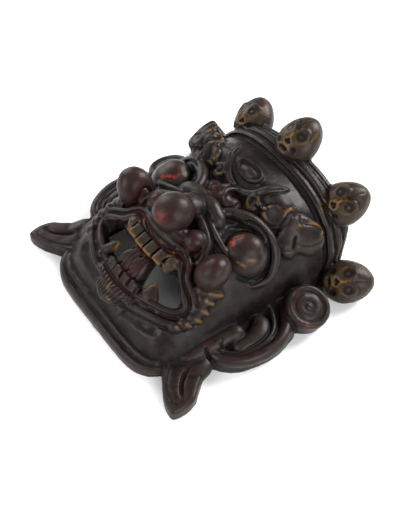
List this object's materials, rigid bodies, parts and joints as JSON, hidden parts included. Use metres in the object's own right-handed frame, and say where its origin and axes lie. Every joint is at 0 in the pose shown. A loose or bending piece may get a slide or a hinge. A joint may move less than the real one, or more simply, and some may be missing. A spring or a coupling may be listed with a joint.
{
  "type": "carved wooden mask",
  "caption": "Carved wrathful guardian mask with bulging eyes, open fanged mouth, flame brows, skull crown and scrolled ears, hollow at the back.",
  "frame": {"origin": "middle of the bounding box, on the flat back that the mask lies on", "axes": "+Z out of the face, +Y from the chin to the crown, +X towards the viewer's right"},
  "size_m": [0.3396, 0.3342, 0.1545],
  "materials": {
    "carved_wood": "dark stained and polished by hand, with worn red and ochre paint"
  },
  "bodies": {
    "root": {"mask": "carved_wood"}
  },
  "joints": []
}
